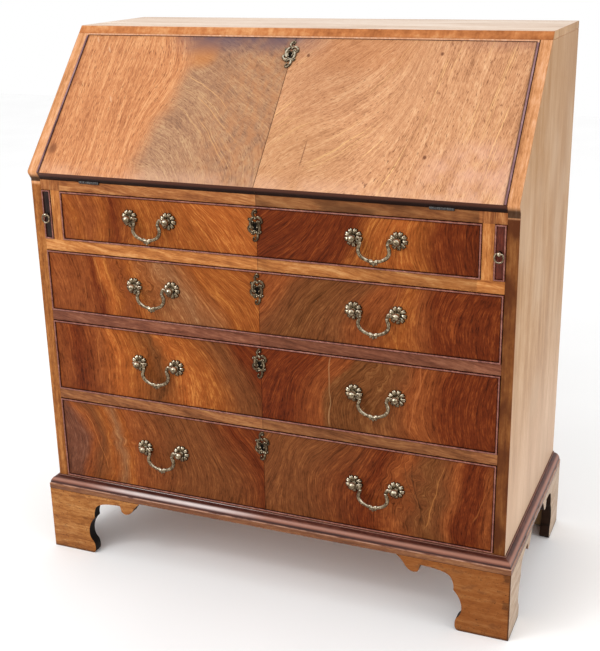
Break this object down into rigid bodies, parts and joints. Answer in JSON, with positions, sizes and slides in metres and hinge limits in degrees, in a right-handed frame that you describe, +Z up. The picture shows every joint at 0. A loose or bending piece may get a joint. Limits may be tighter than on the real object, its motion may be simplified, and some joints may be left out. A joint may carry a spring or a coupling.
{
  "type": "writing bureau",
  "caption": "Fall-front writing bureau on bracket feet, with long drawers, slide-out lopers that hold the open fall, bail pulls and fitted pigeonholes.",
  "frame": {"origin": "on the floor, under the middle of the outline's box, with the moulding and the pulls counted in", "axes": "+Z up, -Y out of the front towards the user, +X to the user's right"},
  "size_m": [0.962, 0.4774, 1.045],
  "materials": {
    "side_wood": "faded waxed mahogany with fine upright grain",
    "top_wood": "bleached waxed mahogany with faint cracks",
    "fall_wood": "polished figured mahogany, joined down the middle",
    "rail_wood": "polished mahogany facings",
    "drawer_wood": "polished flame mahogany fronts, plain linings",
    "plinth_wood": "dark polished mahogany moulding",
    "foot_wood": "waxed mahogany with dark worn edges",
    "back_wood": "bare softwood boards",
    "interior_wood": "waxed mahogany",
    "brass": "old cast brass, dark in its recesses"
  },
  "bodies": {
    "carcass": {"side_left": "side_wood", "side_right": "side_wood", "top_board": "top_wood", "back_panel": "back_wood", "bottom_board": "rail_wood", "writing_board": "rail_wood", "loper_frame": "rail_wood", "drawer_rail_2": "rail_wood", "drawer_rail_3": "rail_wood", "plinth_moulding": "plinth_wood", "foot_front_left": "foot_wood", "foot_front_right": "foot_wood", "foot_back_left": "foot_wood", "foot_back_right": "foot_wood", "hinge_left": "brass", "hinge_right": "brass", "pigeonhole_gallery": "interior_wood"},
    "fall": {"fall_board": "fall_wood", "fall_lock": "brass", "fall_hinge_leaf_left": "brass", "fall_hinge_leaf_right": "brass"},
    "loper_left": {"loper_left": "drawer_wood"},
    "loper_right": {"loper_right": "drawer_wood"},
    "loper_ring_left": {"loper_ring_left": "brass"},
    "loper_ring_right": {"loper_ring_right": "brass"},
    "drawer_1": {"drawer_1": "drawer_wood", "drawer_1_lock": "brass", "drawer_1_post_1": "brass", "drawer_1_post_2": "brass", "drawer_1_post_3": "brass", "drawer_1_post_4": "brass"},
    "drawer_1_bail_left": {"drawer_1_bail_left": "brass"},
    "drawer_1_bail_right": {"drawer_1_bail_right": "brass"},
    "drawer_2": {"drawer_2": "drawer_wood", "drawer_2_lock": "brass", "drawer_2_post_1": "brass", "drawer_2_post_2": "brass", "drawer_2_post_3": "brass", "drawer_2_post_4": "brass"},
    "drawer_2_bail_left": {"drawer_2_bail_left": "brass"},
    "drawer_2_bail_right": {"drawer_2_bail_right": "brass"},
    "drawer_3": {"drawer_3": "drawer_wood", "drawer_3_lock": "brass", "drawer_3_post_1": "brass", "drawer_3_post_2": "brass", "drawer_3_post_3": "brass", "drawer_3_post_4": "brass"},
    "drawer_3_bail_left": {"drawer_3_bail_left": "brass"},
    "drawer_3_bail_right": {"drawer_3_bail_right": "brass"},
    "drawer_4": {"drawer_4": "drawer_wood", "drawer_4_lock": "brass", "drawer_4_post_1": "brass", "drawer_4_post_2": "brass", "drawer_4_post_3": "brass", "drawer_4_post_4": "brass"},
    "drawer_4_bail_left": {"drawer_4_bail_left": "brass"},
    "drawer_4_bail_right": {"drawer_4_bail_right": "brass"},
    "small_drawer_1": {"small_drawer_1": "interior_wood"},
    "small_drawer_2": {"small_drawer_2": "interior_wood"},
    "small_drawer_3": {"small_drawer_3": "interior_wood"}
  },
  "joints": [
    {"name": "fall_hinge", "type": "hinge", "parent": "carcass", "child": "fall", "pos_m": [0, -0.21975, 0.78], "axis": [1, 0, 0], "range_deg": [0, 131.7]},
    {"name": "loper_left_slide", "type": "slide", "parent": "carcass", "child": "loper_left", "axis": [0, -1, 0], "range_m": [0, 0.28]},
    {"name": "loper_right_slide", "type": "slide", "parent": "carcass", "child": "loper_right", "axis": [0, -1, 0], "range_m": [0, 0.28]},
    {"name": "loper_ring_left_swing", "type": "hinge", "parent": "loper_left", "child": "loper_ring_left", "pos_m": [-0.434, -0.22725, 0.713], "axis": [-1, 0, 0], "range_deg": [-8, 100]},
    {"name": "loper_ring_right_swing", "type": "hinge", "parent": "loper_right", "child": "loper_ring_right", "pos_m": [0.434, -0.22725, 0.713], "axis": [-1, 0, 0], "range_deg": [-8, 100]},
    {"name": "drawer_1_slide", "type": "slide", "parent": "carcass", "child": "drawer_1", "axis": [0, -1, 0], "range_m": [0, 0.36]},
    {"name": "drawer_1_bail_left_swing", "type": "hinge", "parent": "drawer_1", "child": "drawer_1_bail_left", "pos_m": [-0.214, -0.23175, 0.719], "axis": [-1, 0, 0], "range_deg": [-8, 120]},
    {"name": "drawer_1_bail_right_swing", "type": "hinge", "parent": "drawer_1", "child": "drawer_1_bail_right", "pos_m": [0.223, -0.23175, 0.719], "axis": [-1, 0, 0], "range_deg": [-8, 120]},
    {"name": "drawer_2_slide", "type": "slide", "parent": "carcass", "child": "drawer_2", "axis": [0, -1, 0], "range_m": [0, 0.36]},
    {"name": "drawer_2_bail_left_swing", "type": "hinge", "parent": "drawer_2", "child": "drawer_2_bail_left", "pos_m": [-0.214, -0.23175, 0.5885], "axis": [-1, 0, 0], "range_deg": [-8, 120]},
    {"name": "drawer_2_bail_right_swing", "type": "hinge", "parent": "drawer_2", "child": "drawer_2_bail_right", "pos_m": [0.223, -0.23175, 0.5885], "axis": [-1, 0, 0], "range_deg": [-8, 120]},
    {"name": "drawer_3_slide", "type": "slide", "parent": "carcass", "child": "drawer_3", "axis": [0, -1, 0], "range_m": [0, 0.36]},
    {"name": "drawer_3_bail_left_swing", "type": "hinge", "parent": "drawer_3", "child": "drawer_3_bail_left", "pos_m": [-0.214, -0.23175, 0.4345], "axis": [-1, 0, 0], "range_deg": [-8, 120]},
    {"name": "drawer_3_bail_right_swing", "type": "hinge", "parent": "drawer_3", "child": "drawer_3_bail_right", "pos_m": [0.223, -0.23175, 0.4345], "axis": [-1, 0, 0], "range_deg": [-8, 120]},
    {"name": "drawer_4_slide", "type": "slide", "parent": "carcass", "child": "drawer_4", "axis": [0, -1, 0], "range_m": [0, 0.36]},
    {"name": "drawer_4_bail_left_swing", "type": "hinge", "parent": "drawer_4", "child": "drawer_4_bail_left", "pos_m": [-0.214, -0.23175, 0.2555], "axis": [-1, 0, 0], "range_deg": [-8, 120]},
    {"name": "drawer_4_bail_right_swing", "type": "hinge", "parent": "drawer_4", "child": "drawer_4_bail_right", "pos_m": [0.223, -0.23175, 0.2555], "axis": [-1, 0, 0], "range_deg": [-8, 120]},
    {"name": "small_drawer_1_slide", "type": "slide", "parent": "carcass", "child": "small_drawer_1", "axis": [0, -1, 0], "range_m": [0, 0.15]},
    {"name": "small_drawer_2_slide", "type": "slide", "parent": "carcass", "child": "small_drawer_2", "axis": [0, -1, 0], "range_m": [0, 0.15]},
    {"name": "small_drawer_3_slide", "type": "slide", "parent": "carcass", "child": "small_drawer_3", "axis": [0, -1, 0], "range_m": [0, 0.15]}
  ]
}
